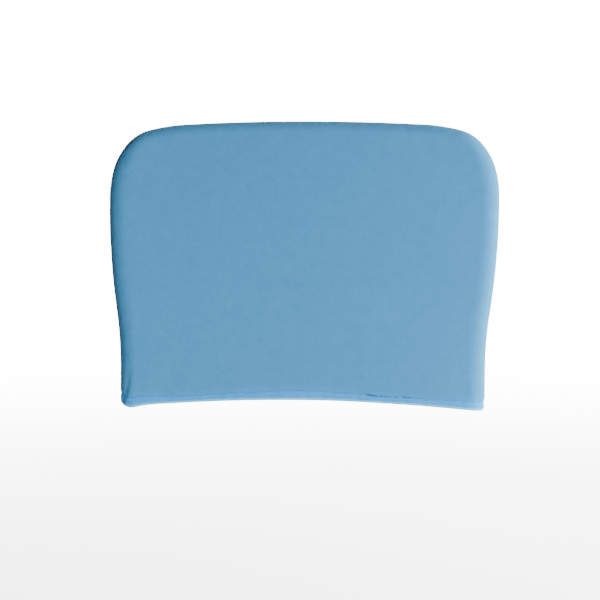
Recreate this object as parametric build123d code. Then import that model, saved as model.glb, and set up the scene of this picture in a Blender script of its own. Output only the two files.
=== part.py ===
from build123d import *
import math
import os

# Stretch-knit slip-over cover for the top of an office-chair backrest, in its worn shape.
# Frame: +Z up, front of the chair towards -Y, X across the chair.
# Origin: middle of the bottom opening, at the height of the lowest hem points.

# ---- driving dimensions (mm) ----
FABRIC_T = 0.8           # knit thickness
CASING_GAP = 2.3         # room for the elastic between the two plies of the hem
CASING_H = 11.5          # height of the turned-up ply
STITCH_H = 10.0          # height of the hem topstitch above the hem edge
CLOSURE_H = 8.6          # height of the row that closed the casing
CLOSURE_X = (79.0, 145.0)  # where that row lies, across the front
THREAD_T = 0.3           # how far a thread stands off the fabric
THREAD_W = 0.5           # width of a run of stitches
ELASTIC_W = 7.6          # flat elastic, width
ELASTIC_T = 0.8          # flat elastic, thickness
ELASTIC_LAP = 22.0       # overlap of the elastic's two ends
ALLOWANCE = 6.0          # seam allowance, wall to cut edge
SEAM_ROW = 1.6           # distance of the seam's needle row from the wall

TOP_Z = 362.8            # crown of the cover
EDGE_R = 14.3            # rounding of the front and back edges

FRONT_Y = -18.5          # front face at the middle
FRONT_R = 2000.0         # plan radius of the front face, centre in front
BACK_Y = 18.5            # back face at the middle
BACK_R = 1450.0          # plan radius of the back face, centre in front
SEAM_Y = 4.0             # seam surface at the middle
SEAM_R = 1650.0          # plan radius of the seam surface
LEAN_R = 2400.0          # upright radius: the top sets back

# Outline, right half, from the crown down: (radius, heading in degrees at the arc's end).
# A heading of 0 runs straight across and 90 straight down.
CORNER_ARCS = [(2596.0, 3.3), (230.0, 15.0), (54.0, 50.0), (85.0, 78.0), (148.0, 90.0)]
SIDE_X = 228.4           # half width at the hem
SIDE_BEND_Z = 122.0      # where the side turns from bowed out to bowed in
SIDE_STRAIGHT_Z = 52.0   # below this the side is straight
BOTTOM_Z = -30.0         # construction depth, cut off by the hem

# Hem edge height across the cover
HEM_PTS = [(0, 10.3), (60, 9.5), (120, 6.5), (165, 3.6), (195, 1.55), (213, 0.2),
           (223.5, 0.7), (233, 3.4), (248, 10.5)]

CLEAR = 0.05             # air between two separate pieces that lie against each other

os.makedirs("parts", exist_ok=True)


def outline_arcs():
    """Right half of the outline as (start, middle, end, normal at each) in x, z."""
    arcs, x, z, a = [], 0.0, TOP_Z, 0.0

    def add(r, a0, a1, x, z, bow):
        # heading a is measured from +X towards -Z; bow +1 turns down, -1 turns back
        out = []
        cx = x - bow * r * math.sin(a0)
        cz = z - bow * r * math.cos(a0)
        for t in (a0, 0.5 * (a0 + a1), a1):
            out.append((cx + bow * r * math.sin(t), cz + bow * r * math.cos(t), math.sin(t), math.cos(t)))
        return out

    for r, end in CORNER_ARCS:
        e = math.radians(end)
        arcs.append(add(r, a, e, x, z, 1))
        x, z, a = arcs[-1][2][0], arcs[-1][2][1], e
    drop, h = x - SIDE_X, z - SIDE_STRAIGHT_Z
    turn = 2 * math.atan2(drop, h)
    h1 = z - SIDE_BEND_Z
    arcs.append(add(h1 / math.sin(turn), a, a + turn, x, z, 1))
    x, z, a = arcs[-1][2][0], arcs[-1][2][1], a + turn
    h2 = z - SIDE_STRAIGHT_Z
    arcs.append(add(h2 / math.sin(turn), a, a - turn, x, z, -1))
    return arcs


ARCS = outline_arcs()


def outline_face(d):
    """Outline moved inward by d, as a face in the XZ plane."""
    edges = []

    def p(q, s):
        return (s * (q[0] - d * q[2]), 0, q[1] - d * q[3])

    for arc in ARCS:
        for s in (1, -1):
            edges.append(ThreePointArc(p(arc[0], s), p(arc[1], s), p(arc[2], s)))
    end = ARCS[-1][2]
    xe = end[0] - d * end[2]
    ze = end[1] - d * end[3]
    edges.append(Line((xe, 0, ze), (xe, 0, BOTTOM_Z)))
    edges.append(Line((-xe, 0, ze), (-xe, 0, BOTTOM_Z)))
    edges.append(Line((-xe, 0, BOTTOM_Z), (xe, 0, BOTTOM_Z)))
    return Face(Wire(edges))


def plan_arc_y(y0, r, x):
    return y0 - r + math.sqrt(r * r - x * x)


def slab(y_a, r_a, y_b, r_b, half=262.0):
    """Space between two upright shells of plan radius r_a and r_b, leaning back by LEAN_R."""
    def arc(y0, r, x0, x1):
        xm = 0.5 * (x0 + x1)
        return ThreePointArc((x0, plan_arc_y(y0, r, x0), 0), (xm, plan_arc_y(y0, r, xm), 0),
                             (x1, plan_arc_y(y0, r, x1), 0))
    ya, yb = plan_arc_y(y_a, r_a, half), plan_arc_y(y_b, r_b, half)
    f = Face(Wire([arc(y_a, r_a, -half, half), Line((half, ya, 0), (half, yb, 0)),
                   arc(y_b, r_b, half, -half), Line((-half, yb, 0), (-half, ya, 0))]))
    axis = Axis((0, LEAN_R, 0), (-1, 0, 0))
    low = math.degrees(math.asin(60.0 / LEAN_R))
    high = math.degrees(math.asin(420.0 / LEAN_R))
    f = f.rotate(axis, -low)
    return Solid.revolve(f, low + high, axis)


def body(d):
    """The cover's outer shape moved inward by d on every side."""
    s = slab(FRONT_Y + d, FRONT_R + d, BACK_Y - d, BACK_R - d)
    prism = extrude(outline_face(d), 200, dir=(0, 1, 0), both=True)
    solid = (s & prism).solids()[0]
    z_floor = BOTTOM_Z
    edges = []
    for e in solid.edges():
        m = e.position_at(0.5)
        if abs(m.Z - z_floor) < 1.0:
            continue
        # the rim edges lie on the front or the back shell, the short ones cross the rim
        a, b = e.position_at(0), e.position_at(1)
        if abs(a.Y - b.Y) > 20 and abs(a.X - b.X) < 1 and abs(a.Z - b.Z) < 1:
            continue
        edges.append(e)
    return solid.fillet(EDGE_R - d, edges)



_bodies = {}


def B(d):
    if d not in _bodies:
        _bodies[d] = body(d)
    return _bodies[d]


def above(h):
    """Everything higher than the hem edge plus h."""
    right = [(x, z + h) for x, z in HEM_PTS]
    pts = [(-x, 0, z) for x, z in reversed(right[1:])] + [(x, 0, z) for x, z in right]
    low = Spline([Vector(*p) for p in pts])
    x, z = right[-1]
    x2 = 300
    f = Face(Wire([low, Line((x, 0, z), (x2, 0, z)), Line((x2, 0, z), (x2, 0, 460)),
                   Line((x2, 0, 460), (-x2, 0, 460)), Line((-x2, 0, 460), (-x2, 0, z)),
                   Line((-x2, 0, z), (-x, 0, z))]))
    return extrude(f, 200, dir=(0, 1, 0), both=True)


_above = {}


def A(h):
    if h not in _above:
        _above[h] = above(h)
    return _above[h]


def front_of(off):
    """Everything in front of the seam surface moved back by off."""
    return slab(-120, 3000, SEAM_Y + off, SEAM_R + off)


def back_of(off):
    return slab(SEAM_Y + off, SEAM_R + off, 110, 3000)


def layer(a, b):
    return slab(SEAM_Y + a, SEAM_R + a, SEAM_Y + b, SEAM_R + b)


def band(d0, d1, h0, h1):
    """Ring between two depths, between two heights above the hem edge."""
    ring = B(d0) - B(d1)
    ring = ring & A(h0)
    return ring - A(h1) if h1 is not None else ring


T = FABRIC_T
PLY_IN = T + CASING_GAP            # outer face of the turned-up ply
PLY_END = PLY_IN + T               # its inner face
EDGE_D = T + ALLOWANCE             # cut edge of the seam allowances


def panel(side_of, lay):
    wall = (B(0.0) - B(T)) & A(0.0)
    ply = band(PLY_IN, PLY_END, 0.0, CASING_H)
    fold = band(0.0, PLY_END, 0.0, T)
    shell = (wall + ply + fold) & side_of
    flange = ((B(T - 0.2) - B(EDGE_D)) & lay) & A(CASING_H + 0.6)
    return shell + flange


def elastic():
    ring = band(PLY_IN - 0.15 - ELASTIC_T, PLY_IN - 0.15, T + 0.4, T + 0.4 + ELASTIC_W)
    lap = band(PLY_IN - 0.15 - 2 * ELASTIC_T, PLY_IN - 0.15 - ELASTIC_T + 0.05, T + 0.4, T + 0.4 + ELASTIC_W)
    lap = lap & Pos(0, 60, 10) * Box(ELASTIC_LAP, 120, 60)
    return ring + lap


def elastic_join():
    """Two bars of stitches across the overlap."""
    d1 = PLY_IN - 0.15 - 2 * ELASTIC_T - CLEAR
    face = band(d1 - 0.25, d1, T + 1.2, T + ELASTIC_W - 0.4)
    bars = [Pos(x, 60, 10) * Box(1.4, 120, 60) for x in (-7.0, 7.0)]
    return (face & bars[0]) + (face & bars[1])


def closure():
    ring = band(-CLEAR - THREAD_T, -CLEAR, CLOSURE_H - 0.5 * THREAD_W, CLOSURE_H + 0.5 * THREAD_W)
    x0, x1 = CLOSURE_X
    return ring & Pos(0.5 * (x0 + x1), -60, 10) * Box(x1 - x0, 120, 60)


def seam_needle():
    d0 = T + SEAM_ROW
    ring = (B(d0) - B(d0 + THREAD_W)) & A(CASING_H + 1.2)
    a = T + 2 * CLEAR
    return (ring & layer(-a - THREAD_T, -a)) + (ring & layer(a, a + THREAD_T))


def looper(sign):
    """Covers one face of the allowances from the needle row to just past the cut edge."""
    d0 = T + SEAM_ROW + THREAD_W + 0.2
    a = T + 2 * CLEAR
    lo, hi = (-a - THREAD_T, -a) if sign < 0 else (a, a + THREAD_T)
    return ((B(d0) - B(EDGE_D + THREAD_T)) & layer(lo, hi)) & A(CASING_H + 1.2)


hem0, hem1 = STITCH_H - 0.5 * THREAD_W, STITCH_H + 0.5 * THREAD_W

NODES = {
    "front_panel": lambda: panel(front_of(-CLEAR), layer(-T - CLEAR, -CLEAR)),
    "back_panel": lambda: panel(back_of(CLEAR), layer(CLEAR, T + CLEAR)),
    "hem_elastic": elastic,
    "seam_needle_thread": seam_needle,
    "seam_upper_looper_thread": lambda: looper(-1),
    "seam_lower_looper_thread": lambda: looper(1),
    "hem_needle_thread": lambda: band(-CLEAR - THREAD_T, -CLEAR, hem0, hem1),
    "hem_bobbin_thread": lambda: band(PLY_END + CLEAR, PLY_END + CLEAR + THREAD_T, hem0, hem1),
    "casing_closure_thread": closure,
    "elastic_join_thread": elastic_join,
}

for name, make in NODES.items():
    shape = make()
    solids = [s for s in shape.solids() if s.volume > 0.01]
    shape = solids[0] if len(solids) == 1 else Compound(children=solids)
    shape.label = name
    export_step(shape, f"parts/{name}.step")
    bb = shape.bounding_box()
    print(f"{name}: {len(solids)} solid(s), {sum(s.volume for s in solids) / 1000:.2f} cm3, "
          f"x {bb.min.X:.1f}..{bb.max.X:.1f}, y {bb.min.Y:.1f}..{bb.max.Y:.1f}, z {bb.min.Z:.1f}..{bb.max.Z:.1f}")
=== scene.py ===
import math

import bpy
import numpy as np
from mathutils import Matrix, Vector


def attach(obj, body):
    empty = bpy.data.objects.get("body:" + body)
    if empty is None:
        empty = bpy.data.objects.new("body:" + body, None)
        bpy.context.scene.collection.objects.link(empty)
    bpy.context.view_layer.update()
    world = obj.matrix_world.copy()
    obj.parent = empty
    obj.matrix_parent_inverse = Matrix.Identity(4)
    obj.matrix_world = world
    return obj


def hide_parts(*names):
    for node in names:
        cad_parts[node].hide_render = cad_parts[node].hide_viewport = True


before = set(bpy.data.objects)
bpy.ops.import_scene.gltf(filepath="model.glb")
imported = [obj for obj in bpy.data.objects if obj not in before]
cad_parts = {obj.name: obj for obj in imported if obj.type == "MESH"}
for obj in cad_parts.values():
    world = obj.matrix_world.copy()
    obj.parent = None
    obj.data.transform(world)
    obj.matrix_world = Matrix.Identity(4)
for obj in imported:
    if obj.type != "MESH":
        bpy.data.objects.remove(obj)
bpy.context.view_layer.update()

# The worn cover's shape, in millimetres, in the part's own frame (front towards -Y, +Z up).
TOP_Z = 362.8
FRONT_Y, FRONT_R = -18.5, 2000.0
BACK_Y, BACK_R = 18.5, 1450.0
SEAM_Y, SEAM_R = 4.0, 1650.0
LEAN_R = 2400.0
CORNER_ARCS = [(2596.0, 3.3), (230.0, 15.0), (54.0, 50.0), (85.0, 78.0), (148.0, 90.0)]
SIDE_X, SIDE_BEND_Z, SIDE_STRAIGHT_Z = 228.4, 122.0, 52.0
HEM_PTS = [(0, 10.3), (60, 9.5), (120, 6.5), (165, 3.6), (195, 1.55), (213, 0.2),
           (223.5, 0.7), (233, 3.4), (248, 10.5)]
CLOTH_T = 0.7            # knit thickness
FOLD_R = 1.75            # half the thickness of the finished hem
PLY_H = 11.5             # height of the turned-up ply
STITCH_H = 10.0          # nominal height of the hem topstitch
RIM_D = 27.0             # inset at which the flat face meets the rounded rim
NI = 236                 # columns across a face


# ---------- small helpers ----------
def spline(xs, ys):
    """Natural cubic through the points, as a function on arrays."""
    xs, ys = np.array(xs, float), np.array(ys, float)
    n = len(xs)
    h = np.diff(xs)
    a = np.zeros((n, n))
    b = np.zeros(n)
    a[0, 0] = a[-1, -1] = 1
    for i in range(1, n - 1):
        a[i, i - 1], a[i, i], a[i, i + 1] = h[i - 1], 2 * (h[i - 1] + h[i]), h[i]
        b[i] = 6 * ((ys[i + 1] - ys[i]) / h[i] - (ys[i] - ys[i - 1]) / h[i - 1])
    m = np.linalg.solve(a, b)

    def f(x):
        x = np.asarray(x, float)
        i = np.clip(np.searchsorted(xs, x) - 1, 0, n - 2)
        t0, t1 = x - xs[i], xs[i + 1] - x
        return (m[i] * t1 ** 3 + m[i + 1] * t0 ** 3) / (6 * h[i]) + (ys[i] / h[i] - m[i] * h[i] / 6) * t1 \
            + (ys[i + 1] / h[i] - m[i + 1] * h[i] / 6) * t0
    return f


_hx = [-x for x, _ in reversed(HEM_PTS[1:])] + [x for x, _ in HEM_PTS]
_hz = [z for _, z in reversed(HEM_PTS[1:])] + [z for _, z in HEM_PTS]
_even = spline(_hx, _hz)
# the worn hem isn't even: it rides a little higher on the right, and lifts round the left corner
_lift = spline([-245, -236, -229, -221, -213, -200, -185, -148, -124, -99, -74, -25, 0, 68, 112, 160, 197, 210, 220, 229, 236, 245],
               [6.0, 5.6, 4.4, 1.6, 0.3, 1.5, 2.2, 2.2, 1.9, 1.5, 1.2, 1.0, 1.1, 1.2, 1.7, 2.4, 2.4, 2.5, 1.7, 0.4, -0.8, -1.5])


def hem(x):
    return _even(x) + _lift(x)


def wander(u, seed, wave):
    """Smooth one-dimensional noise from -1 to 1 with that wavelength."""
    r = np.random.default_rng(seed).uniform(-1, 1, 4096)
    t = np.asarray(u, float) / wave + 1000.0
    i = np.floor(t).astype(int)
    f = t - i
    f = f * f * (3 - 2 * f)
    return r[i % 4096] * (1 - f) + r[(i + 1) % 4096] * f


def wander2(u, v, seed, wave):
    r = np.random.default_rng(seed).uniform(-1, 1, (512, 512))
    a, b = np.asarray(u, float) / wave + 200.0, np.asarray(v, float) / wave + 200.0
    i, j = np.floor(a).astype(int), np.floor(b).astype(int)
    f, g = a - i, b - j
    f, g = f * f * (3 - 2 * f), g * g * (3 - 2 * g)
    i0, i1, j0, j1 = i % 512, (i + 1) % 512, j % 512, (j + 1) % 512
    return (r[i0, j0] * (1 - f) + r[i1, j0] * f) * (1 - g) + (r[i0, j1] * (1 - f) + r[i1, j1] * f) * g


def smooth(a, b, x):
    t = np.clip((np.asarray(x, float) - a) / (b - a), 0, 1)
    return t * t * (3 - 2 * t)


# ---------- outline and faces ----------
def outline_table():
    xs, zs, nx, nz = [], [], [], []
    x, z, a = 0.0, TOP_Z, 0.0

    def arc(r, a0, a1, x, z, bow):
        t = np.linspace(a0, a1, max(3, int(abs(a1 - a0) * r / 0.2)))
        cx, cz = x - bow * r * math.sin(a0), z - bow * r * math.cos(a0)
        px, pz = cx + bow * r * np.sin(t), cz + bow * r * np.cos(t)
        k = 0 if not xs else 1
        xs.extend(px[k:]); zs.extend(pz[k:]); nx.extend(np.sin(t)[k:]); nz.extend(np.cos(t)[k:])
        return px[-1], pz[-1]

    for r, end in CORNER_ARCS:
        x, z = arc(r, a, math.radians(end), x, z, 1)
        a = math.radians(end)
    turn = 2 * math.atan2(x - SIDE_X, z - SIDE_STRAIGHT_Z)
    x, z = arc((z - SIDE_BEND_Z) / math.sin(turn), a, a + turn, x, z, 1)
    x, z = arc((z - SIDE_STRAIGHT_Z) / math.sin(turn), a + turn, a, x, z, -1)
    for zz in np.arange(z - 0.5, -12, -0.5):
        xs.append(x); zs.append(zz); nx.append(1.0); nz.append(0.0)
    t = np.array([xs, zs, nx, nz])
    s = np.concatenate([[0], np.cumsum(np.hypot(np.diff(t[0]), np.diff(t[1])))])
    return s, t


TS, TT = outline_table()


def outline(s):
    s = np.asarray(s, float)
    g = np.where(s < 0, -1.0, 1.0)
    q = np.abs(s)
    return g * np.interp(q, TS, TT[0]), np.interp(q, TS, TT[1]), g * np.interp(q, TS, TT[2]), np.interp(q, TS, TT[3])


def s_of_z(z):
    return np.interp(-np.asarray(z, float), -TT[1], TS)


def face_y(y0, r, x, z):
    yp = y0 - r + np.sqrt(r * r - x * x)
    return LEAN_R - np.sqrt((LEAN_R - yp) ** 2 - z * z)


def y_front(x, z):
    # low on the right the face falls away to the side sooner
    return face_y(FRONT_Y, FRONT_R, x, z) + 2.4 * smooth(172, 232, x) * (1 - smooth(40, 160, z))


def y_back(x, z):
    return face_y(BACK_Y, BACK_R, x, z)


def y_seam(x, z):
    return face_y(SEAM_Y, SEAM_R, x, z)


def stitch_h(x, side):
    """Height of the topstitch above the hem edge: the casing stands a little taller at the left front corner."""
    if side < 0:
        h = np.interp(x, [-225, -210, -198, -185, -167, -148, -124, -99, -74, -50, -25, 0, 25, 49, 68, 92, 120, 133, 160, 173, 197, 210, 225],
                      [13.0, 13.3, 12.6, 10.9, 9.2, 8.7, 8.8, 9.9, 10.8, 10.9, 12.0, 12.3, 11.6, 10.8, 10.4, 9.1, 9.1, 9.8, 9.2, 10.0, 10.2, 11.2, 11.8])
    else:
        h = np.interp(x, [-225, -150, 0, 150, 225], [11.6, 10.2, 9.8, 9.9, 9.8])
    return h + 0.18 * wander(x, 31 + side, 23.0)


# ---------- one panel: a single sheet of knit ----------
def build_panel(side):
    """side -1 is the front, +1 the back. Returns the sheet's points, faces, cloth coordinates and what the stitches follow."""
    yf = y_front if side < 0 else y_back
    seed = 100 if side < 0 else 200
    # rows of the left boundary: by height above the hem, then by arc length up to the middle of the corner
    low = np.array([FOLD_R, 2.6, 3.6, 4.7, 5.8, 6.8, 7.7, 8.4, 8.9, 9.3, 9.6, 9.8, 10.0, 10.2, 10.4, 10.75, 11.3, 12.1,
                    13.2, 14.6, 16.4, 18.6, 21.2, 24.2, 27.6, 31.4, 35.6, 40.0])
    j_st = int(np.argmin(np.abs(low - STITCH_H)))
    s45 = float(np.interp(math.radians(45), np.arctan2(TT[2], TT[3])[TS < 260], TS[TS < 260]))
    hem_side = float(hem(SIDE_X))
    s_low = s_of_z(low + hem_side)
    n_up = int((s_low[-1] - s45) / 3.4)
    s_rows = np.concatenate([s_low, np.linspace(s_low[-1], s45, n_up + 1)[1:]])
    nj = len(s_rows)
    # top row
    s_top = np.linspace(-s45, s45, NI)
    ox, oz, nx, nz = outline(s_top)
    tx, tz = ox - RIM_D * nx, oz - RIM_D * nz
    ox, oz, nx, nz = outline(s_rows)
    n_l = len(low)

    def drawn(hh):
        """How far the elastic draws the casing in from the sides."""
        return 1.35 * (1 - smooth(8.5, 15.5, hh))
    ox[:n_l] -= 0.8 * drawn(low)
    qx, qz = ox - RIM_D * nx, oz - RIM_D * nz
    sig = tx / tx[-1]
    X = qx[:, None] * sig[None, :]
    n_low = len(low)
    z_ref = qz[n_low - 1]
    v = np.clip((qz - z_ref) / (qz[-1] - z_ref), 0, 1)
    Z = np.zeros_like(X)
    Hn = np.zeros_like(X)  # nominal height above the hem, with the stitch at STITCH_H
    for j in range(nj):
        if j < n_low:
            sc = stitch_h(X[j], side) / STITCH_H
            f = 1 - smooth(12, 38, low[j])
            hh = low[j] * (1 + (sc - 1) * f * smooth(1.0, 6.0, low[j]))
            Z[j] = hem(X[j]) + hh
            Hn[j] = low[j]
        else:
            base = hem(X[n_low - 1]) + low[-1]
            Z[j] = base + v[j] * (tz - base)
            Hn[j] = 40 + (Z[j] - base)
    Y = yf(X, Z)

    # boundary of the grid, from the left hem up, across the top and down to the right hem
    K = 2 * nj + NI - 2
    ks = np.concatenate([-s_rows[:nj], s_top[1:-1], s_rows[:nj][::-1]])
    gj = np.concatenate([np.arange(nj), np.full(NI - 2, nj - 1), np.arange(nj)[::-1]])
    gi = np.concatenate([np.zeros(nj, int), np.arange(1, NI - 1), np.full(nj, NI - 1)])
    ox, oz, nx, nz = outline(ks)
    Qx, Qz, Hk = X[gj, gi], Z[gj, gi], Hn[gj, gi]
    ox = ox - np.where(ox > 0, 1.0, -0.5) * drawn(Hk)
    # width of the rounding: broad down the sides, tighter along the crown
    topness = smooth(0.35, 0.95, nz)
    if side < 0:
        bw = 22.0 + (15.0 - 22.0) * topness
    else:
        bw = 17.0 + (15.0 - 17.0) * topness
    prof = []  # (kind, value)
    for t in (0.34, 0.67, 1.0):
        prof.append(("flat", t))
    last = 86 if side < 0 else 60      # the roundings stop short of the seam, which lies behind the middle
    for p in np.linspace(8, last, 13 if side < 0 else 9):
        prof.append(("phi", math.radians(p)))
    n_core = len(prof)
    tail = [(0.0, 3.1), (0.0, 2.4), (0.05, 1.7), (0.2, 1.1), (0.48, 0.6), (0.9, 0.26), (1.45, 0.1), (2.3, 0.06), (3.8, 0.06), (6.2, 0.06)]
    for e, dy in tail:
        prof.append(("tail", (e, dy)))
    m = len(prof)
    m_seam = n_core + 7          # rings up to the seam line; what follows is the allowance
    R = np.zeros((m, K, 3))
    R0 = np.zeros((m, K, 3))     # the same rings on the plain rim, before the edge turns in to the seam
    Hr = np.zeros((m, K))
    fade = 1 - smooth(10, 60, Hk)
    for r, (kind, val) in enumerate(prof):
        if kind == "flat":
            dl, w = RIM_D + (bw - RIM_D) * val, None
        elif kind == "phi":
            dl = bw * (1 - np.sin(val))
        px = ox - nx * (dl if kind != "tail" else 0.6)
        pz = oz - nz * (dl if kind != "tail" else 0.6)
        # the side hem lifts with the hem line
        lift = np.where(np.abs(px) > np.abs(Qx) - 1e-6, hem(np.clip(px, -229, 229)) - hem(Qx), 0) * fade
        zq = np.where(Hk < 40, Qz - (oz - RIM_D * nz), 0) * fade   # keeps ring rows level with the face's rows
        pz = pz + lift + zq
        ya, yb = y_front(px, pz), y_back(px, pz)
        ym = 0.5 * (ya + yb)
        if kind == "flat":
            y = ya if side < 0 else yb
        elif kind == "phi":
            y = ym - (ym - ya) * np.cos(val) if side < 0 else ym + (yb - ym) * np.cos(val)
        else:
            e, dy = val
            ys = y_seam(px, pz)
            y = ys + side * dy
            # where the rear rounding is at that depth
            br = 17.0 + (15.0 - 17.0) * topness
            q = np.clip((y - ym) / (yb - ym), -1, 1)
            dl = br * (1 - np.sqrt(1 - q * q))
            px, pz = ox - nx * dl, oz - nz * dl + lift + zq
            R0[r, :, 0], R0[r, :, 1], R0[r, :, 2] = px, y_seam(px, pz) + side * dy, pz
            px, pz = px - nx * e, pz - nz * e
            y = y_seam(px, pz) + side * dy
        R[r, :, 0], R[r, :, 1], R[r, :, 2] = px, y, pz
        if kind != "tail":
            R0[r] = R[r]
        Hr[r] = Hk

    # vertex list
    P, H, kind_of = [], [], []
    idG = np.arange(nj * NI).reshape(nj, NI)
    P.append(np.stack([X, Y, Z], -1).reshape(-1, 3)); H.append(Hn.reshape(-1)); kind_of.append(np.zeros(nj * NI, int))
    idR = nj * NI + np.arange(m * K).reshape(m, K)
    P.append(R.reshape(-1, 3)); H.append(Hr.reshape(-1)); kind_of.append(np.repeat(np.arange(m) >= m_seam, K).astype(int) * 2)
    base_n = nj * NI + m * K

    # the hem chain at row 0, and the turned-up ply that hangs on it
    def chain(ids_left, ids_mid, ids_right):
        return np.concatenate([ids_left[::-1], ids_mid, ids_right])
    c0 = chain(idR[:m_seam, 0], idG[0], idR[:m_seam, K - 1])
    cp = np.concatenate(P)[c0]
    cu = np.concatenate([R0[:m_seam, 0][::-1], P[0][idG[0]], R0[:m_seam, K - 1]])

    def across(line):
        t = np.gradient(line[:, :2], axis=0)
        t /= np.linalg.norm(t, axis=1)[:, None]
        return np.stack([t[:, 1], -t[:, 0]], 1) * (1 if side < 0 else -1)
    nc, nrm = across(cp), across(cu)
    ex = cu[:, 0]
    plump = 1 + 0.10 * wander(ex, seed + 5, 17.0)
    E, He = [], []
    for a in np.radians([22, 48, 74, 90, 106, 132, 158, 180]):
        t = float(smooth(0, math.radians(110), a))
        n2 = nc * (1 - t) + nrm * t
        n2 /= np.linalg.norm(n2, axis=1)[:, None]
        q = cp * (1 - t) + cu * t
        q[:, :2] -= n2 * (FOLD_R * plump * (1 - math.cos(a)))[:, None]
        q[:, 2] = cp[:, 2] - FOLD_R * math.sin(a)
        E.append(q); He.append(np.full(len(c0), -a))
    sc = stitch_h(ex, side) / STITCH_H
    inner_rows = [2.6, 4.0, 5.6, 7.2, 8.1, 8.7, 9.2, 9.6, 10.0, 10.5, 11.0, PLY_H]
    for hh in inner_rows:
        # the ply hangs clear over the elastic and is drawn against the wall by the stitches
        pinch = float(smooth(8.1, 10.0, hh))
        depth = 2 * FOLD_R * (plump * (1 - pinch) + pinch) - 1.25 * pinch + 0.25 * float(smooth(10.0, PLY_H, hh))
        if hh > 10.0:
            depth = depth + 0.22 * float(smooth(10.0, PLY_H, hh)) * wander(ex, seed + 9, 6.5)
        q = cu.copy()
        q[:, :2] -= nrm * depth[:, None]
        q[:, 2] = cp[:, 2] - FOLD_R + hh * sc
        E.append(q); He.append(np.full(len(c0), -10.0 - hh))
    ne = len(E)
    idE = base_n + np.arange(ne * len(c0)).reshape(ne, -1)
    P.append(np.concatenate(E)); H.append(np.concatenate(He)); kind_of.append(np.full(ne * len(c0), 1))
    P, H, kind_of = np.concatenate(P), np.concatenate(H), np.concatenate(kind_of)

    # faces
    def quads(g):
        a, b, c, d = g[:-1, :-1], g[:-1, 1:], g[1:, 1:], g[1:, :-1]
        return np.stack([a, b, c, d], -1).reshape(-1, 4)
    F = [quads(idG)]
    ub = idG[gj, gi]
    rings = np.concatenate([ub[None, :], idR])
    k0 = int(np.searchsorted(low, 12.0))   # the allowance starts above the casing
    body_r = rings[:m_seam + 1]
    F.append(quads(body_r))
    ka = int(np.searchsorted(low, 9.7))    # its lowest millimetres are caught in the hem's stitching, which closes the seam
    F.append(quads(rings[m_seam:, ka:K - ka]))
    hemrows = np.concatenate([c0[None, :], idE])
    F.append(quads(hemrows)[:, ::-1])
    F = np.concatenate(F)
    if side > 0:
        F = F[:, ::-1]

    # cloth coordinates: across and along the fabric, in millimetres
    UV = np.zeros((len(P), 2))
    UV[idG.reshape(-1)] = np.stack([X.reshape(-1), Z.reshape(-1)], 1)
    t = np.zeros(K)
    prev = P[ub]
    for r in range(m):
        t = t + np.linalg.norm(R[r] - prev, axis=1)
        prev = R[r]
        UV[idR[r]] = np.stack([Qx + nx * t, Qz + nz * t], 1)
    prev, t = P[c0], np.zeros(len(c0))
    for e in range(ne):
        t = t + np.linalg.norm(E[e] - prev, axis=1)
        prev = E[e]
        UV[idE[e]] = np.stack([UV[c0, 0], UV[c0, 1] - t], 1)

    # relief along the fabric's own normal
    def normals(P):
        a, b, c, d = (P[F[:, i]] for i in range(4))
        n = np.cross(c - a, d - b)
        out = np.zeros_like(P)
        for i in range(4):
            np.add.at(out, F[:, i], n)
        ln = np.linalg.norm(out, axis=1)
        return out / np.maximum(ln, 1e-12)[:, None]
    N = normals(P)
    U, V = UV[:, 0], UV[:, 1]
    x, z = P[:, 0], P[:, 2]
    outer = (kind_of == 0)
    h = np.where(outer, H, 0.0)
    D = np.zeros(len(P))
    below = outer & (H < STITCH_H)
    D += np.where(below, 0.50 * np.sin(np.pi * np.clip(h / STITCH_H, 0, 1)) ** 0.8, 0)
    near = np.exp(-((h - STITCH_H) / 0.55) ** 2) * outer
    D -= near * (0.55 + 0.18 * wander(U, seed + 1, 3.3))
    # soft gathers that the elastic pulls into the hem
    g1 = wander(U, seed + 2, 4.6) * 0.17 + wander(U + 3, seed + 3, 11.0) * 0.20
    D += outer * g1 * np.exp(-np.clip(h - STITCH_H, 0, None) / 4.5) * smooth(0, 4, h)
    # short pulls that fan out above the row and die away
    g2 = wander(U + 0.10 * (h - 10) * np.sign(x), seed + 4, 7.5)
    D += outer * 0.13 * g2 * np.exp(-((h - 17) / 10.0) ** 2)
    # slow unevenness of a taut cloth
    D += outer * (0.22 * wander2(x, z, seed + 6, 85.0) + 0.07 * wander2(x, z, seed + 7, 24.0))

    def crease(pts, width, depth, cut=None):
        best = np.full(len(P), 1e9)
        w = np.zeros(len(P))
        for (xa, za, da), (xb, zb, db) in zip(pts[:-1], pts[1:]):
            vx, vz = xb - xa, zb - za
            tt = np.clip(((x - xa) * vx + (z - za) * vz) / (vx * vx + vz * vz), 0, 1)
            dd = np.hypot(x - xa - tt * vx, z - za - tt * vz)
            new = dd < best
            best = np.where(new, dd, best)
            w = np.where(new, da + (db - da) * tt, w)
        return outer * depth * w * np.exp(-(best / width) ** 2)
    if side < 0:
        # the drawn-in fold beside the lower left corner, and a fainter one at the right
        D -= crease([(-214.5, 62, 0.0), (-215.5, 44, 0.5), (-217.5, 28, 1.0), (-220.5, 17, 1.15), (-223.5, 8, 0.7)], 2.3, 1.25)
        D += crease([(-209.0, 50, 0.0), (-210.5, 34, 0.8), (-213.0, 22, 1.0), (-216.0, 12, 0.4)], 3.2, 0.45)
        D -= crease([(216.0, 46, 0.0), (217.0, 30, 0.7), (219.0, 20, 0.8), (221.0, 12, 0.3)], 2.6, 0.5)
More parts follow.
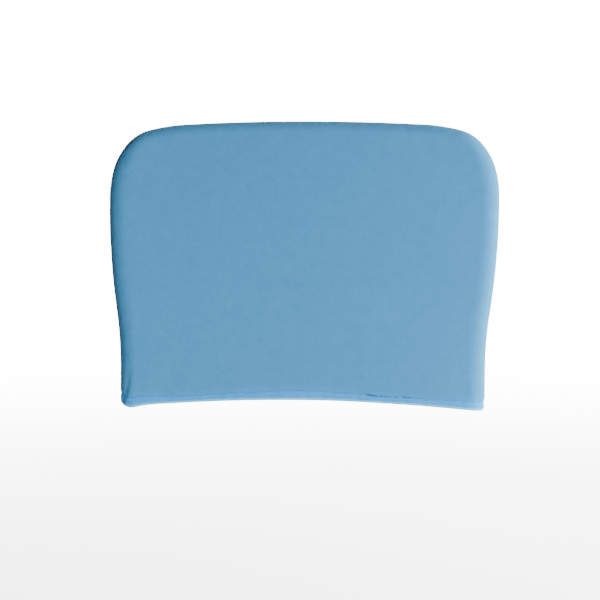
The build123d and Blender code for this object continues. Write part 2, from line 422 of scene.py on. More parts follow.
        # where the casing was closed by hand
        cl = smooth(76, 80, x) * (1 - smooth(146, 152, x))
        clump = np.zeros(len(P))
        for xa, xb, q in ((82, 95.5, 1.0), (98.5, 102.5, 0.7), (117, 121, 0.6), (126, 138, 0.9)):
            clump = np.maximum(clump, q * smooth(xa - 1.5, xa + 1, x) * (1 - smooth(xb - 1, xb + 1.5, x)))
        D -= outer * np.exp(-((h - 9.6) / 0.95) ** 2) * (0.15 * cl + 0.85 * clump) * (1 + 0.35 * wander(U, 77, 2.3))
        D += outer * np.exp(-((h - 12.2) / 1.3) ** 2) * 0.28 * clump
    # small gathers along the side and top seam
    ring = np.full(len(P), 99.0)
    for r in range(m):
        ring[idR[r]] = np.abs(R[r, :, 1] - y_seam(R[r, :, 0], R[r, :, 2]))
    s_along = np.zeros(len(P))
    s_along[idR.reshape(-1)] = np.tile(ks, m)
    D += outer * 0.13 * wander(s_along, seed + 8, 3.1) * np.exp(-ring / 2.4)
    D[kind_of == 2] = 0
    P2 = P + N * D[:, None]

    # what lies where
    jrow = chain(idR[:m_seam, j_st], idG[j_st], idR[:m_seam, K - 1 - j_st])
    inner = idE[8 + inner_rows.index(10.0)]
    info = {"stitch": P2[jrow], "stitch_n": N[jrow], "bobbin": P2[inner], "bobbin_n": N[inner],
            "seam": P2[idR[m - 1]][k0:K - k0], "seam_in": P2[idR[m - 3]][k0:K - k0], "seam_s": ks[k0:K - k0],
            "grid": P2[idG], "grid_n": N[idG], "chain": cu, "chain_n": np.concatenate([nrm, np.zeros((len(nrm), 1))], 1), "k0": k0, "s45": s45}
    return P2, F, UV, H, kind_of, info


def new_mesh(name, verts_mm, faces, uv_mm=None, attrs=None):
    used = np.zeros(len(verts_mm), bool)
    used[np.asarray(faces).reshape(-1)] = True
    idx = np.cumsum(used) - 1
    faces = idx[np.asarray(faces)]
    v = np.asarray(verts_mm)[used] * 0.001
    me = bpy.data.meshes.new(name)
    me.from_pydata(v.tolist(), [], faces.tolist())
    me.update()
    if uv_mm is not None:
        uv = np.asarray(uv_mm)[used] * 0.001
        lay = me.uv_layers.new(name="cloth")
        li = np.zeros(len(me.loops), int)
        me.loops.foreach_get("vertex_index", li)
        lay.data.foreach_set("uv", uv[li].astype(np.float32).reshape(-1))
    for k, a in (attrs or {}).items():
        at = me.attributes.new(k, "FLOAT", "POINT")
        at.data.foreach_set("value", np.asarray(a)[used].astype(np.float32))
    me.polygons.foreach_set("use_smooth", np.ones(len(me.polygons), bool))
    ob = bpy.data.objects.new(name, me)
    bpy.context.scene.collection.objects.link(ob)
    return ob


def solidify(ob, t, offset=-1.0, inner_slot=0):
    """Gives a sheet its thickness, applied to the mesh."""
    mod = ob.modifiers.new("thickness", "SOLIDIFY")
    mod.thickness, mod.offset, mod.use_even_offset = t * 0.001, offset, False
    mod.use_rim = True
    mod.thickness_clamp = 0.0
    mod.material_offset = inner_slot
    mod.material_offset_rim = inner_slot
    dg = bpy.context.evaluated_depsgraph_get()
    me = bpy.data.meshes.new_from_object(ob.evaluated_get(dg), preserve_all_data_layers=True, depsgraph=dg)
    ob.modifiers.clear()
    old = ob.data
    ob.data = me
    me.name = ob.name
    bpy.data.meshes.remove(old)
    return ob


def tubes(name, runs, sides=6):
    """Short lengths of thread: runs is a list of (points n x 3, radii n), each a closed little tube."""
    V, F, n0 = [], [], 0
    for pts, rad in runs:
        pts = np.asarray(pts, float)
        n = len(pts)
        t = np.gradient(pts, axis=0)
        t /= np.maximum(np.linalg.norm(t, axis=1), 1e-9)[:, None]
        ref = np.tile(np.array([0.31, 0.17, 0.93]), (n, 1))
        a = np.cross(t, ref); a /= np.maximum(np.linalg.norm(a, axis=1), 1e-9)[:, None]
        b = np.cross(t, a)
        ang = np.linspace(0, 2 * np.pi, sides, endpoint=False)
        ring = pts[:, None, :] + (a[:, None, :] * np.cos(ang)[None, :, None] + b[:, None, :] * np.sin(ang)[None, :, None]) * np.asarray(rad, float)[:, None, None]
        V.append(ring.reshape(-1, 3))
        for i in range(n - 1):
            for k in range(sides):
                k2 = (k + 1) % sides
                F.append((n0 + i * sides + k, n0 + i * sides + k2, n0 + (i + 1) * sides + k2, n0 + (i + 1) * sides + k))
        F.append(tuple(n0 + k for k in range(sides))[::-1])
        F.append(tuple(n0 + (n - 1) * sides + k for k in range(sides)))
        n0 += n * sides
    me = bpy.data.meshes.new(name)
    me.from_pydata((np.concatenate(V) * 0.001).tolist(), [], F)
    me.update()
    me.polygons.foreach_set("use_smooth", np.ones(len(me.polygons), bool))
    ob = bpy.data.objects.new(name, me)
    bpy.context.scene.collection.objects.link(ob)
    return ob


class Path:
    """A polyline on the cloth with its normals, read by distance along it."""

    def __init__(self, pts, nrm):
        self.p, self.n = np.asarray(pts, float), np.asarray(nrm, float)
        self.s = np.concatenate([[0], np.cumsum(np.linalg.norm(np.diff(self.p, axis=0), axis=1))])
        self.length = self.s[-1]

    def at(self, s):
        p = np.stack([np.interp(s, self.s, self.p[:, i]) for i in range(3)], -1)
        n = np.stack([np.interp(s, self.s, self.n[:, i]) for i in range(3)], -1)
        return p, n / np.maximum(np.linalg.norm(n, axis=-1, keepdims=True), 1e-9)


# ---------- build the two panels ----------
print("panels")
front = build_panel(-1)
back = build_panel(1)
PANELS = {}
for name, (P, F, UV, H, kd, info) in (("front_cover", front), ("back_cover", back)):
    # where the paler hem colour goes: the band below the stitch and the turned ply, fading out above the stitch; partly
    # the elastic under the casing, partly painted light
    hem_tone_and_light_mask = np.where(kd == 0, 0.60 * (1 - smooth(STITCH_H - 0.8, STITCH_H + 0.8, H)) + 0.40 * (1 - smooth(STITCH_H - 0.5, STITCH_H + 8.5, H)), 1.0) * (kd != 2)
    # where the fold colour goes: the fold itself and the lowest millimetres of the face, a painted highlight along the
    # bottom edge
    fold_tone_and_highlight_mask = np.where(kd == 1, np.where(H > -9, 1.0, 0.25), 1 - smooth(1.7, 4.4, H)) * (kd != 2)
    ob = new_mesh(name, P, F, UV, {"hem": hem_tone_and_light_mask, "fold": fold_tone_and_highlight_mask})
    PANELS[name] = ob
    co = np.array([v.co for v in ob.data.vertices])
    print(name, len(co), "points, box mm", (co.min(0) * 1000).round(1), (co.max(0) * 1000).round(1))
SHEET_FACES = {ob.name: len(ob.data.polygons) for ob in PANELS.values()}
for ob in PANELS.values():
    solidify(ob, CLOTH_T)
    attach(ob, "root")


# ---------- hem stitches ----------
def stitch(path, s0, s1, lift, sink, r, side_shift=0.0):
    """One short stitch lying on the cloth, its ends drawn down into it."""
    t = np.array([0.0, 0.08, 0.22, 0.5, 0.78, 0.92, 1.0])
    up = np.array([-sink, -0.2 * sink, 0.75 * lift, lift, 0.75 * lift, -0.2 * sink, -sink])
    p, n = path.at(s0 + (s1 - s0) * t)
    p = p + n * up[:, None]
    p[:, 2] += side_shift * np.array([0, 0.3, 0.8, 1, 0.8, 0.3, 0])
    return p, r * np.array([0.75, 0.95, 1.0, 1.03, 1.0, 0.95, 0.75])


rng = np.random.default_rng(7)
needle, bobbin = [], []
for P, F, UV, H, kd, info in (front, back):
    for key, out, lift, r in (("stitch", needle, 0.20, 0.20), ("bobbin", bobbin, 0.20, 0.20)):
        nn = info[key + "_n"] if key == "stitch" else -info["chain_n"]
        path = Path(info[key], nn)
        s = 1.6
        while s < path.length - 3.6:
            pitch = 3.3 + 0.18 * rng.uniform(-1, 1)
            out.append(stitch(path, s + 0.28, s + pitch - 0.28, lift + 0.04 * rng.uniform(-1, 1), 0.42, r, 0.06 * rng.uniform(-1, 1)))
            s += pitch
hem_needle = tubes("hem_needle_stitches", needle)
hem_bobbin = tubes("hem_bobbin_stitches", bobbin)

# ---------- the hand-closed part of the casing ----------
G, GN = front[5]["grid"], front[5]["grid_n"]
cols = np.arange(G.shape[1])


def on_front(x, up):
    """A point of the front's cloth, that far across and that high above the hem edge, and the cloth's normal."""
    c = np.array([np.interp(x, G[j, :, 0], cols) for j in range(24)])
    z = np.array([np.interp(c[j], cols, G[j, :, 2]) for j in range(24)])
    y = np.array([np.interp(c[j], cols, G[j, :, 1]) for j in range(24)])
    zt = float(hem(x)) + up
    n = np.array([np.interp(zt, z, [np.interp(c[j], cols, GN[j, :, k]) for j in range(24)]) for k in range(3)])
    return np.array([x, np.interp(zt, z, y), zt]), n / np.linalg.norm(n)


closing = []
# (from x, height, to x, height, stitches, thickness): where the hand-run thread shows
for xa, ha, xb, hb, n, thick in ((81.0, 10.9, 84.6, 10.4, 1, 0.42), (84.8, 10.3, 95.0, 8.7, 3, 0.72), (98.4, 8.7, 102.4, 8.6, 1, 0.52),
                                 (103.8, 8.5, 112.2, 8.6, 2, 0.25), (117.0, 8.8, 121.0, 8.9, 1, 0.48), (126.0, 9.5, 132.8, 9.6, 2, 0.66),
                                 (133.6, 9.6, 137.6, 9.5, 1, 0.50), (146.6, 9.4, 151.0, 9.5, 1, 0.22)):
    for i in range(n):
        a, b = xa + (xb - xa) * i / n, xa + (xb - xa) * (i + 1) / n - 0.2
        t = np.linspace(0, 1, 11)
        x = a + (b - a) * t
        hh = ha + (hb - ha) * (x - xa) / (xb - xa) + 0.30 * (t - 0.5) * (1 if i % 2 else -1) + 0.10 * rng.uniform(-1, 1)
        up = 0.45 * thick - (0.5 + thick) * np.abs(2 * t - 1) ** 5
        p = []
        for k in range(len(t)):
            q, qn = on_front(x[k], hh[k])
            p.append(q + qn * up[k])
        closing.append((np.array(p), thick * (1 - 0.35 * np.abs(2 * t - 1) ** 4)))
closure = tubes("casing_closure_stitches", closing, 8)


# ---------- overlock seam inside, round the sides and the top ----------
def on_seam(s, e, off):
    """A point on the seam allowances: s along the outline, e in from the wall, off towards the back."""
    ox, oz, nx, nz = outline(s)
    topness = smooth(0.35, 0.95, nz)
    br = 17.0 + (15.0 - 17.0) * topness
    px, pz = ox - nx * 0.6, oz - nz * 0.6
    for _ in range(2):
        y = y_seam(px, pz)
        ya, yb = y_front(px, pz), y_back(px, pz)
        ym = 0.5 * (ya + yb)
        q = np.clip((y - ym) / (yb - ym), -1, 1)
        dl = br * (1 - np.sqrt(1 - q * q)) + e
        px, pz = ox - nx * dl, oz - nz * dl
    return np.stack([px, y_seam(px, pz) + off, pz], -1)


S_END = float(s_of_z(hem(SIDE_X) + 16.0))
PITCH = 3.0
N_OV = int(2 * S_END / PITCH)
s_stitch = np.linspace(-S_END, S_END, N_OV + 1)
face_off = 0.06 + CLOTH_T          # a flange's outer face, from the seam surface
seam_needle = []
for i in range(N_OV):
    a, b = s_stitch[i], s_stitch[i + 1]
    t = np.array([0.06, 0.16, 0.32, 0.5, 0.68, 0.84, 0.94])
    up = np.array([-0.35, -0.05, 0.12, 0.17, 0.12, -0.05, -0.35])
    for sd in (-1, 1):
        p = on_seam(a + (b - a) * t, 2.35, 0.0)
        p[:, 1] += sd * (face_off + up)
        seam_needle.append((p, np.array([0.15, 0.19, 0.2, 0.2, 0.2, 0.19, 0.15])))
seam_needle_ob = tubes("overlock_needle_stitches", seam_needle)


def looper(sd, phase, seed):
    """The looper thread on one side of the allowances: a zigzag from the needle row over the cut edge."""
    r = np.random.default_rng(seed)
    runs = []
    for i in range(N_OV - 1):
        s0 = s_stitch[i] + phase * PITCH
        j = 0.10 * PITCH * r.uniform(-1, 1, 3)
        s_ctl = np.array([s0, s0 + 0.16 * PITCH, s0 + 0.42 * PITCH + j[0], s0 + 0.5 * PITCH + j[1], s0 + 0.62 * PITCH + j[1],
                          s0 + 0.86 * PITCH + j[2] * 0.5, s0 + 1.0 * PITCH])
        e_ctl = np.array([2.5, 3.1, 5.6, 6.35, 5.7, 3.2, 2.5])
        o_ctl = np.array([0.18, 0.26, 0.27, 0.06, 0.27, 0.26, 0.18])
        u, uf = np.linspace(0, 1, 7), np.linspace(0, 1, 13)
        ss, ee, oo = (spline(u, c)(uf) for c in (s_ctl, e_ctl, o_ctl))
        p = on_seam(ss, ee, 0.0)
        p[:, 1] += sd * (face_off + oo)
        runs.append((p, np.full(13, 0.19)))
    return runs


upper_looper = tubes("overlock_upper_looper", looper(-1, 0.0, 21), 6)
lower_looper = tubes("overlock_lower_looper", looper(1, 0.5, 22), 6)


# ---------- flat elastic in the casing ----------
def elastic_band():
    fc, bc = front[5]["chain"], back[5]["chain"]
    fn, bn = front[5]["chain_n"], back[5]["chain_n"]
    # once round, seen from above: along the front to the right, back along the rear to the left
    loop = np.concatenate([fc, bc[::-1]])
    nl = np.concatenate([fn, bn[::-1]])
    s = np.concatenate([[0], np.cumsum(np.linalg.norm(np.diff(loop[:, :2], axis=0), axis=1))])
    total = s[-1] + np.linalg.norm(loop[0, :2] - loop[-1, :2])
    sb = s[len(fc):]
    mid = float(np.interp(0.0, -bc[::-1][:, 0], sb))
    lap = 11.0
    sample = np.arange(mid - lap, mid + total + lap, 2.6)
    sample[-1] = mid + total + lap
    loop3, nl3 = np.tile(loop, (3, 1)), np.tile(nl, (3, 1))
    s3 = np.concatenate([s - total, s, s + total])
    P = np.stack([np.interp(sample, s3, loop3[:, i]) for i in range(2)], 1)
    N = np.stack([np.interp(sample, s3, nl3[:, i]) for i in range(2)], 1)
    for _ in range(3):          # the band rounds the corners a little more softly than the cloth
        P[1:-1] = 0.25 * P[:-2] + 0.5 * P[1:-1] + 0.25 * P[2:]
        N[1:-1] = 0.25 * N[:-2] + 0.5 * N[1:-1] + 0.25 * N[2:]
    N /= np.linalg.norm(N, axis=1)[:, None]
    base = hem(np.clip(P[:, 0], -229, 229))
    # in the lap the first end lies towards the outside and the last towards the inside
    d = sample - (mid - lap)
    rest = (mid + total + lap) - sample
    depth = FOLD_R - 0.41 * (1 - smooth(24, 36, d)) + 0.41 * (1 - smooth(24, 36, rest))
    w, t = 7.6, 0.76
    ribs = 6
    prof = []
    for k in range(ribs):       # ribbed faces
        z0 = -w / 2 + w * k / ribs
        for f, dd in ((0.12, 0.30), (0.5, 0.5), (0.88, 0.30)):
            prof.append((z0 + f * w / ribs, dd * t))
    top = [(z, dd) for z, dd in prof]
    low = [(z, -dd) for z, dd in prof[::-1]]
    prof = np.array([(-w / 2 - 0.08, 0.0)] + top + [(w / 2 + 0.08, 0.0)] + low)
    zc = base + 1.05 + w / 2 + 0.15 * wander(sample, 55, 40.0)
    V = []
    for i in range(len(sample)):
        wv = 1 + 0.012 * math.sin(sample[i] * 1.9)
        q = np.zeros((len(prof), 3))
        q[:, :2] = P[i] - N[i] * (depth[i] - prof[:, 1])[:, None]
        q[:, 2] = zc[i] + prof[:, 0] * wv
        V.append(q)
    m, n = len(prof), len(sample)
    F = []
    for i in range(n - 1):
        for k in range(m):
            k2 = (k + 1) % m
            F.append((i * m + k, (i + 1) * m + k, (i + 1) * m + k2, i * m + k2))
    F.append(tuple(range(m)))
    F.append(tuple((n - 1) * m + k for k in range(m))[::-1])
    me = bpy.data.meshes.new("flat_elastic")
    me.from_pydata((np.concatenate(V) * 0.001).tolist(), [], F)
    me.update()
    uv = me.uv_layers.new(name="cloth")
    li = np.zeros(len(me.loops), int)
    me.loops.foreach_get("vertex_index", li)
    acc = np.concatenate([[0], np.cumsum(np.linalg.norm(np.diff(prof, axis=0), axis=1))])
    co = np.stack([np.repeat(sample - sample[0], m), np.tile(acc, n)], 1) * 0.001
    uv.data.foreach_set("uv", co[li].astype(np.float32).reshape(-1))
    me.polygons.foreach_set("use_smooth", np.ones(len(me.polygons), bool))
    ob = bpy.data.objects.new("flat_elastic", me)
    bpy.context.scene.collection.objects.link(ob)
    # two bars of stitches across the lap
    bars = []
    for bx in (-7.0, 7.0):
        y0 = float(np.interp(bx, bc[:, 0], bc[:, 1]))
        nn = np.array([np.interp(bx, bc[:, 0], bn[:, 0]), np.interp(bx, bc[:, 0], bn[:, 1]), 0.0])
        zb = float(hem(bx)) + 1.05
        for row in range(9):
            za = zb + 0.75 + row * 0.72
            for face_d, sgn in ((FOLD_R + 0.41 + 0.33, 1), (FOLD_R - 0.41 - 0.33, -1)):
                tt = np.linspace(0, 1, 6)
                xx = bx + (tt - 0.5) * 1.7
                p = np.stack([xx, np.full(6, y0), za + 0.36 * tt * (1 if row % 2 else -1) + 0.18], 1)
                p -= nn * (face_d + sgn * (0.14 - 0.4 * np.abs(2 * tt - 1) ** 4))[:, None]
                bars.append((p, np.full(6, 0.14)))
    return ob, tubes("elastic_join_stitches", bars)


elastic, elastic_join = elastic_band()


# ---------- materials ----------
class Nodes:
    """Small helper around one node tree."""

    def __init__(self, name):
        self.mat = bpy.data.materials.new(name)
        self.mat.use_nodes = True
        self.t = self.mat.node_tree
        self.bsdf = self.t.nodes["Principled BSDF"]

    def add(self, kind, **kw):
        n = self.t.nodes.new(kind)
        for k, v in kw.items():
            setattr(n, k, v)
        return n

    def link(self, a, b):
        self.t.links.new(a, b)

    def val(self, sock, v):
        if hasattr(v, "is_linked") or isinstance(v, bpy.types.NodeSocket):
            self.link(v, sock)
        else:
            sock.default_value = v

    def math(self, op, a, b=0.0, c=0.0, clamp=False):
        n = self.add("ShaderNodeMath", operation=op, use_clamp=clamp)
        for s, v in zip(n.inputs, (a, b, c)):
            self.val(s, v)
        return n.outputs[0]

    def mix(self, f, a, b, blend="MIX"):
        n = self.add("ShaderNodeMix", data_type="RGBA", blend_type=blend)
        self.val(n.inputs[0], f)
        self.val(n.inputs[6], a)
        self.val(n.inputs[7], b)
        return n.outputs[2]

    def noise(self, vec, scale, detail=2.0, rough=0.5, w=None):
        n = self.add("ShaderNodeTexNoise")
        self.link(vec, n.inputs["Vector"])
        n.inputs["Scale"].default_value = scale
        n.inputs["Detail"].default_value = detail
        n.inputs["Roughness"].default_value = rough
        return n.outputs[0]

    def attr(self, name):
        return self.add("ShaderNodeAttribute", attribute_name=name).outputs["Fac"]

    def ramp(self, f, a, b, lo=0.0, hi=1.0):
        n = self.add("ShaderNodeMapRange", interpolation_type="SMOOTHSTEP")
        self.val(n.inputs[0], f)
        for i, v in zip((1, 2, 3, 4), (a, b, lo, hi)):
            n.inputs[i].default_value = v
        return n.outputs[0]


def rgb(r, g, b):
    """Display colour to the shader's linear values."""
    f = lambda c: c / 12.92 if c <= 0.04045 else ((c + 0.055) / 1.055) ** 2.4
    return (f(r / 255), f(g / 255), f(b / 255), 1.0)


def knit(name, base, hem_tone_and_light, fold_tone_and_highlight, inside=False):
    """Fine jersey: rows of V-shaped loops, slightly uneven yarn, a paler turned hem, partly the elastic under it and
    partly painted light, with a painted highlight along its fold.
    """
    n = Nodes(name)
    uv = n.add("ShaderNodeUVMap", uv_map="cloth").outputs[0]
    pos = n.add("ShaderNodeTexCoord").outputs["Object"]
    sep = n.add("ShaderNodeSeparateXYZ")
    n.link(uv, sep.inputs[0])
    jitter = n.noise(pos, 210.0, 2.0)
    u = n.math("ADD", sep.outputs[0], n.math("MULTIPLY", n.math("SUBTRACT", jitter, 0.5), 0.00035))
    v = n.math("ADD", sep.outputs[1], n.math("MULTIPLY", n.math("SUBTRACT", jitter, 0.5), 0.00025))
    # wales 0.92 mm apart, courses 0.78 mm
    wale = n.math("MULTIPLY", u, 1 / 0.00092)
    tri = n.math("ABSOLUTE", n.math("SUBTRACT", n.math("FRACT", wale), 0.5))       # 0.5 at a wale's edge, 0 in its middle
    course = n.math("ADD", n.math("MULTIPLY", v, 1 / 0.00078), n.math("MULTIPLY", tri, 1.0 if not inside else -0.35))
    row = n.math("ABSOLUTE", n.math("SUBTRACT", n.math("FRACT", course), 0.5))
    loop_h = n.math("SUBTRACT", 1.0, n.math("POWER", n.math("MULTIPLY", row, 2.0), 2.0))
    rib = n.math("SUBTRACT", 1.0, n.math("POWER", n.math("MULTIPLY", tri, 2.0), 4.0))
    centre = n.math("SUBTRACT", 1.0, n.math("POWER", n.math("SUBTRACT", 1.0, n.math("MULTIPLY", tri, 2.0)), 6.0))
    if inside:
        height = n.math("ADD", n.math("MULTIPLY", loop_h, 0.75), n.math("MULTIPLY", rib, 0.25))
    else:
        height = n.math("MULTIPLY", n.math("MULTIPLY", rib, centre), n.math("ADD", n.math("MULTIPLY", loop_h, 0.6), 0.4))
    fuzz = n.noise(pos, 2600.0, 3.0, 0.6)
    yarn = n.noise(pos, 320.0, 3.0, 0.62)
    mottle = n.noise(pos, 95.0, 2.0, 0.5)
    broad = n.noise(pos, 9.0, 2.0, 0.5)
    # colour
    # painted shade: darker between the loops and lighter on their tops, following the relief; the noises added after it
    # are the yarn's own uneven tone
    shade = n.math("ADD", n.math("MULTIPLY", height, 0.13), 0.92)
    shade = n.math("ADD", shade, n.math("MULTIPLY", n.math("SUBTRACT", yarn, 0.5), 0.30))
    shade = n.math("ADD", shade, n.math("MULTIPLY", n.math("SUBTRACT", mottle, 0.5), 0.16))
    shade = n.math("ADD", shade, n.math("MULTIPLY", n.math("SUBTRACT", broad, 0.5), 0.07))
    shade = n.math("ADD", shade, n.math("MULTIPLY", n.math("SUBTRACT", fuzz, 0.5), 0.06))
    # paler hem band, partly painted light, then a painted highlight along the fold edge
    c = n.mix(n.math("MULTIPLY", n.attr("hem"), 0.85), base, hem_tone_and_light)
    c = n.mix(n.ramp(n.attr("fold"), 0.1, 1.0), c, fold_tone_and_highlight)
    grey = n.add("ShaderNodeCombineColor")
    for i in range(3):
        n.link(shade, grey.inputs[i])
    c = n.mix(1.0, c, grey.outputs[0], "MULTIPLY")
    n.link(c, n.bsdf.inputs["Base Color"])
    n.link(n.math("ADD", n.math("MULTIPLY", yarn, 0.16), 0.72), n.bsdf.inputs["Roughness"])
    n.bsdf.inputs["Specular IOR Level"].default_value = 0.25
    n.bsdf.inputs["Sheen Weight"].default_value = 0.35
    n.bsdf.inputs["Sheen Roughness"].default_value = 0.45
    n.bsdf.inputs["Sheen Tint"].default_value = (0.62, 0.82, 1.0, 1.0)
    relief = n.math("ADD", n.math("ADD", n.math("MULTIPLY", height, 0.00013), n.math("MULTIPLY", yarn, 0.00010)),
                    n.math("ADD", n.math("MULTIPLY", fuzz, 0.00002), n.math("MULTIPLY", mottle, 0.00020)))
    bump = n.add("ShaderNodeBump")
    bump.inputs["Strength"].default_value = 0.75
    bump.inputs["Distance"].default_value = 1.0
    n.link(relief, bump.inputs["Height"])
    n.link(bump.outputs[0], n.bsdf.inputs["Normal"])
    return n.mat


def thread(name, base, scale=1.0):
    """Twisted spun thread: fine oblique ply lines, a little fuzz."""
    n = Nodes(name)
    pos = n.add("ShaderNodeTexCoord").outputs["Object"]
    w = n.add("ShaderNodeTexWave", wave_type="BANDS", bands_direction="DIAGONAL")
    n.link(pos, w.inputs["Vector"])
    w.inputs["Scale"].default_value = 900.0 * scale
    w.inputs["Distortion"].default_value = 1.5
    fz = n.noise(pos, 2400.0, 2.0)
    # painted shade: darker in the grooves between the plies, following the bump; the fuzz noise is the thread's own
    # tone
    tone_and_groove_shade = n.math("ADD", n.math("MULTIPLY", w.outputs["Fac"], 0.22), n.math("ADD", n.math("MULTIPLY", fz, 0.22), 0.68))
    grey = n.add("ShaderNodeCombineColor")
    for i in range(3):
        n.link(tone_and_groove_shade, grey.inputs[i])
    n.link(n.mix(1.0, base, grey.outputs[0], "MULTIPLY"), n.bsdf.inputs["Base Color"])
    n.link(n.math("ADD", n.math("MULTIPLY", fz, 0.2), 0.5), n.bsdf.inputs["Roughness"])
    n.bsdf.inputs["Specular IOR Level"].default_value = 0.4
    n.bsdf.inputs["Sheen Weight"].default_value = 0.2
    bump = n.add("ShaderNodeBump")
    bump.inputs["Strength"].default_value = 0.6
    bump.inputs["Distance"].default_value = 1.0
    n.link(n.math("MULTIPLY", w.outputs["Fac"], 0.00004), bump.inputs["Height"])
    n.link(bump.outputs[0], n.bsdf.inputs["Normal"])
    return n.mat


def elastic_material():
    n = Nodes("ribbed_elastic")
    uv = n.add("ShaderNodeUVMap", uv_map="cloth").outputs[0]
    sep = n.add("ShaderNodeSeparateXYZ")
    n.link(uv, sep.inputs[0])
    pick = n.math("ABSOLUTE", n.math("SUBTRACT", n.math("FRACT", n.math("MULTIPLY", sep.outputs[0], 1 / 0.0008)), 0.5))
    pos = n.add("ShaderNodeTexCoord").outputs["Object"]
    fz = n.noise(pos, 900.0, 2.0)
    # painted shade: darker in the grooves between the ribs, following the bump; the fuzz noise is the band's own tone
    tone_and_groove_shade = n.math("ADD", n.math("MULTIPLY", pick, -0.22), n.math("ADD", n.math("MULTIPLY", fz, 0.12), 0.95))
    grey = n.add("ShaderNodeCombineColor")
    for i in range(3):
        n.link(tone_and_groove_shade, grey.inputs[i])
    n.link(n.mix(1.0, rgb(233, 233, 229), grey.outputs[0], "MULTIPLY"), n.bsdf.inputs["Base Color"])
    n.bsdf.inputs["Roughness"].default_value = 0.7
    bump = n.add("ShaderNodeBump")
    bump.inputs["Strength"].default_value = 0.6
    bump.inputs["Distance"].default_value = 1.0
    n.link(n.math("MULTIPLY", pick, -0.0001), bump.inputs["Height"])
    n.link(bump.outputs[0], n.bsdf.inputs["Normal"])
    return n.mat


CLOTH = (0.043, 0.236, 0.500, 1.0)
# the hem band's colour is paler partly for the white elastic under the stretched casing and partly as painted light
# from below
HEM_TONE_AND_PAINTED_LIGHT = (0.028, 0.312, 0.800, 1.0)
# the fold edge's colour is a painted highlight along the hem's bottom edge, partly also the white elastic showing
# through the stretched fold
FOLD_TONE_AND_PAINTED_HIGHLIGHT = (0.150, 0.600, 1.0, 1.0)
knit_face = knit("knit_face", CLOTH, HEM_TONE_AND_PAINTED_LIGHT, FOLD_TONE_AND_PAINTED_HIGHLIGHT)
# the inside's hem and fold colours are lighter in the same way: partly the elastic, partly painted light
knit_reverse = knit("knit_reverse", (0.095, 0.265, 0.43, 1.0), (0.11, 0.30, 0.48, 1.0), (0.13, 0.33, 0.52, 1.0), inside=True)
for ob in PANELS.values():
    ob.data.materials.clear()
    ob.data.materials.append(knit_face)
    ob.data.materials.append(knit_reverse)
    n_face = SHEET_FACES[ob.name]
    which = np.zeros(len(ob.data.polygons), np.int32)
    which[n_face:2 * n_face] = 1      # the far side of the sheet, which faces into the pocket and the casing
    ob.data.polygons.foreach_set("material_index", which)
hem_thread = thread("hem_thread", (0.085, 0.235, 0.39, 1.0))
seam_thread = thread("seam_thread", (0.12, 0.31, 0.49, 1.0))
closure_thread = thread("closure_thread", (0.012, 0.050, 0.095, 1.0))
white_thread = thread("white_thread", (0.76, 0.76, 0.74, 1.0))
for ob, mat, slot, nodes in (
        (hem_needle, hem_thread, "hem_thread", ("hem_needle_thread",)),
        (hem_bobbin, hem_thread, "hem_thread", ("hem_bobbin_thread",)),
        (closure, closure_thread, "closure_thread", ("casing_closure_thread",)),
        (seam_needle_ob, seam_thread, "seam_thread", ("seam_needle_thread",)),
        (upper_looper, seam_thread, "seam_thread", ("seam_upper_looper_thread",)),
        (lower_looper, seam_thread, "seam_thread", ("seam_lower_looper_thread",)),
        (elastic, elastic_material(), "elastic", ("hem_elastic",)),
        (elastic_join, white_thread, "elastic_join_thread", ("elastic_join_thread",))):
    ob.data.materials.clear()
    ob.data.materials.append(mat)
    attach(ob, "root")
    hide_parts(*nodes)
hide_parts("front_panel")
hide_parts("back_panel")


# ---------- camera ----------
cam_data = bpy.data.cameras.new("camera")
cam = bpy.data.objects.new("camera", cam_data)
bpy.context.scene.collection.objects.link(cam)
bpy.context.scene.camera = cam
cam_data.sensor_width = 36.0
cam_data.lens = 72.0
cam.location = (0.0948, -1.5080, 0.2101)
cam.rotation_euler = (math.radians(90.0 - 2.80), math.radians(-0.30), math.radians(3.72))


# ---------- stage and light ----------
SURROUND = 16.0
world = bpy.data.worlds.new("studio")
bpy.context.scene.world = world
world.use_nodes = True
wt = world.node_tree
wt.nodes.clear()
out = wt.nodes.new("ShaderNodeOutputWorld")
seen, fill, pick = wt.nodes.new("ShaderNodeBackground"), wt.nodes.new("ShaderNodeBackground"), wt.nodes.new("ShaderNodeMixShader")
ray = wt.nodes.new("ShaderNodeLightPath")
seen.inputs[0].default_value = (1.0, 1.0, 1.0, 1.0)
seen.inputs[1].default_value = SURROUND
fill.inputs[0].default_value = (1.0, 0.80, 0.60, 1.0)
fill.inputs[1].default_value = 0.15
wt.links.new(ray.outputs["Is Camera Ray"], pick.inputs[0])
wt.links.new(fill.outputs[0], pick.inputs[1])
wt.links.new(seen.outputs[0], pick.inputs[2])
wt.links.new(pick.outputs[0], out.inputs[0])


def area_light(name, loc, at, size, power, colour):
    d = bpy.data.lights.new(name, "AREA")
    d.shape = "RECTANGLE"
    d.size, d.size_y = size
    d.energy = power
    d.color = colour
    o = bpy.data.objects.new(name, d)
    bpy.context.scene.collection.objects.link(o)
    o.location = loc
    o.rotation_euler = (Vector(at) - Vector(loc)).to_track_quat("-Z", "Y").to_euler()
    o.visible_camera = False
    return o


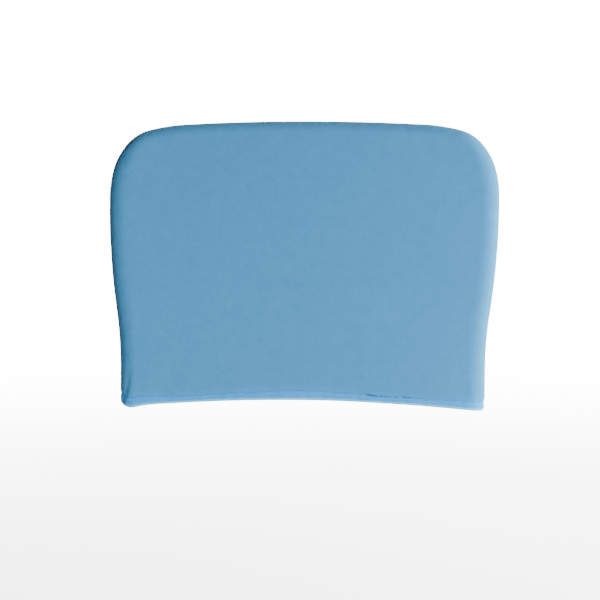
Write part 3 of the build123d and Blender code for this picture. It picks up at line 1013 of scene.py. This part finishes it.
area_light("key", (1.24, -1.12, 0.50), (0, 0, 0.2), (0.75, 0.75), 45.6, (0.84, 0.960, 1.0))
area_light("front", (-0.25, -2.7, 0.30), (0, 0, 0.18), (1.8, 1.2), 9.2, (1.0, 0.74, 0.48))
area_light("right", (2.1, 0.25, 0.25), (0.2, 0, 0.15), (0.8, 1.0), 120.0, (0.70, 1.0, 0.93))
area_light("near_right", (0.56, -0.36, 0.08), (0.22, 0, 0.12), (0.25, 0.30), 1.0, (0.74, 0.94, 1.0))
area_light("under", (0.1, -0.8, -0.60), (0, 0, 0.0), (1.6, 0.9), 11.0, (0.94, 0.98, 1.0))
area_light("rear", (0.7, 2.3, 0.85), (0, 0, 0.18), (1.6, 1.4), 60.0, (1.0, 0.99, 0.97))

FLOOR_Z = -0.62
rings_r = [0.0, 0.3, 0.6, 1.0, 1.6, 2.4, 3.6, 5.4, 8.0, 12.0]
n_seg = 96
fv = [(0.0, 0.0, FLOOR_Z)]
for r in rings_r[1:]:
    fv += [(r * math.cos(2 * math.pi * k / n_seg), r * math.sin(2 * math.pi * k / n_seg), FLOOR_Z) for k in range(n_seg)]
ff = [(0, 1 + k, 1 + (k + 1) % n_seg) for k in range(n_seg)]
for i in range(len(rings_r) - 2):
    o0, o1 = 1 + i * n_seg, 1 + (i + 1) * n_seg
    ff += [(o0 + k, o1 + k, o1 + (k + 1) % n_seg, o0 + (k + 1) % n_seg) for k in range(n_seg)]
fm = bpy.data.meshes.new("floor")
fm.from_pydata(fv, [], ff)
fm.update()
floor = bpy.data.objects.new("floor", fm)
bpy.context.scene.collection.objects.link(floor)
fn = Nodes("pale_floor_with_painted_glow")
fp = fn.add("ShaderNodeTexCoord").outputs["Object"]
dist = fn.add("ShaderNodeVectorMath", operation="LENGTH")
fn.link(fp, dist.inputs[0])
grain = fn.noise(fp, 60.0, 3.0)
fn.link(fn.math("ADD", fn.math("MULTIPLY", grain, 0.04), 0.86), fn.bsdf.inputs["Roughness"])
fn.bsdf.inputs["Base Color"].default_value = (0.82, 0.82, 0.81, 1.0)
fn.bsdf.inputs["Emission Color"].default_value = (1.0, 1.0, 1.0, 1.0)
# painted light: the floor glows, weaker near the middle, which leaves it darker around the cover's spot as painted
# shade, and as bright as the surround from 7 m out
fn.link(fn.ramp(dist.outputs["Value"], 0.9, 7.0, 4.2, SURROUND), fn.bsdf.inputs["Emission Strength"])
fm.materials.append(fn.mat)
floor.visible_diffuse = False
floor.visible_glossy = False
